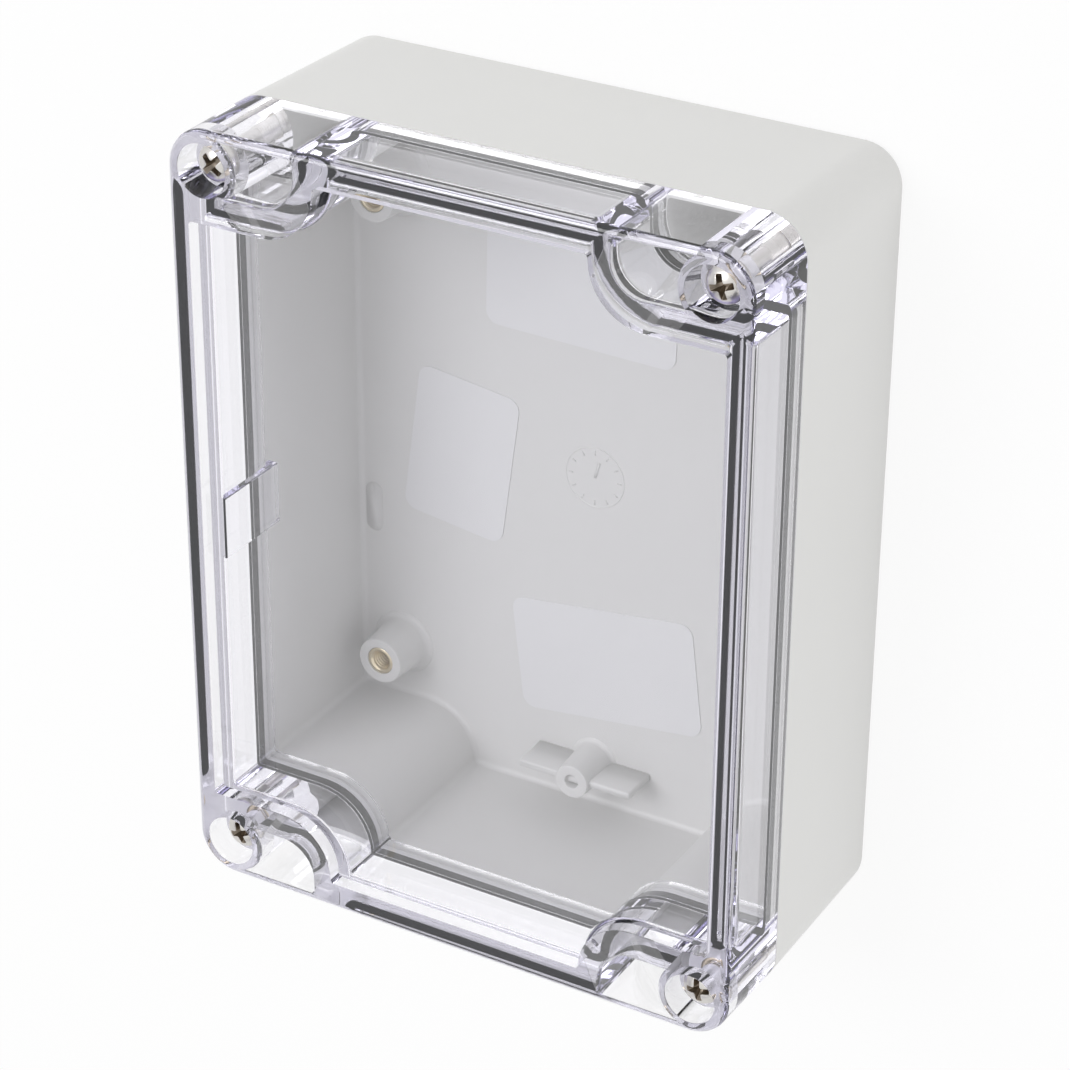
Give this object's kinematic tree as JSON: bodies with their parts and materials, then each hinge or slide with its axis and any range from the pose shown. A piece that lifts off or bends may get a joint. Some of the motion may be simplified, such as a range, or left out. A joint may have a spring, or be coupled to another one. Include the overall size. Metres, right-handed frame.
{
  "type": "wall-mounting enclosure",
  "caption": "Grey moulded enclosure with a clear gasketed lid held by captive corner screws, with bosses and wall-mounting holes.",
  "frame": {"origin": "centre of the back face, the face that goes against the wall", "axes": "+Z from the back face to the lid, +Y along the long side, +X along the short side"},
  "size_m": [0.12, 0.16, 0.06],
  "materials": {
    "base_plastic": "satin",
    "lid_clear": "polished",
    "gasket_rubber": "matte",
    "screw_steel": "satin",
    "insert_brass": "satin",
    "label_vinyl": "satin"
  },
  "bodies": {
    "base": {"base_shell": "base_plastic", "lid_insert_1": "insert_brass", "lid_insert_2": "insert_brass", "lid_insert_3": "insert_brass", "lid_insert_4": "insert_brass", "panel_insert_1": "insert_brass", "panel_insert_2": "insert_brass", "panel_insert_3": "insert_brass", "panel_insert_4": "insert_brass", "label_upper": "label_vinyl", "label_middle": "label_vinyl", "label_lower": "label_vinyl"},
    "lid": {"lid": "lid_clear", "lid_gasket": "gasket_rubber"},
    "screw_1": {"lid_screw_1": "screw_steel"},
    "screw_2": {"lid_screw_2": "screw_steel"},
    "screw_3": {"lid_screw_3": "screw_steel"},
    "screw_4": {"lid_screw_4": "screw_steel"}
  },
  "joints": [
    {"name": "lid_lift", "type": "slide", "parent": "base", "child": "lid", "axis": [0, 0, 1], "range_m": [0, 0.03]},
    {"name": "screw_1_back_out", "type": "slide", "parent": "lid", "child": "screw_1", "axis": [0, 0, 1], "range_m": [0, 0.008]},
    {"name": "screw_2_back_out", "type": "slide", "parent": "lid", "child": "screw_2", "axis": [0, 0, 1], "range_m": [0, 0.008]},
    {"name": "screw_3_back_out", "type": "slide", "parent": "lid", "child": "screw_3", "axis": [0, 0, 1], "range_m": [0, 0.008]},
    {"name": "screw_4_back_out", "type": "slide", "parent": "lid", "child": "screw_4", "axis": [0, 0, 1], "range_m": [0, 0.008]}
  ]
}
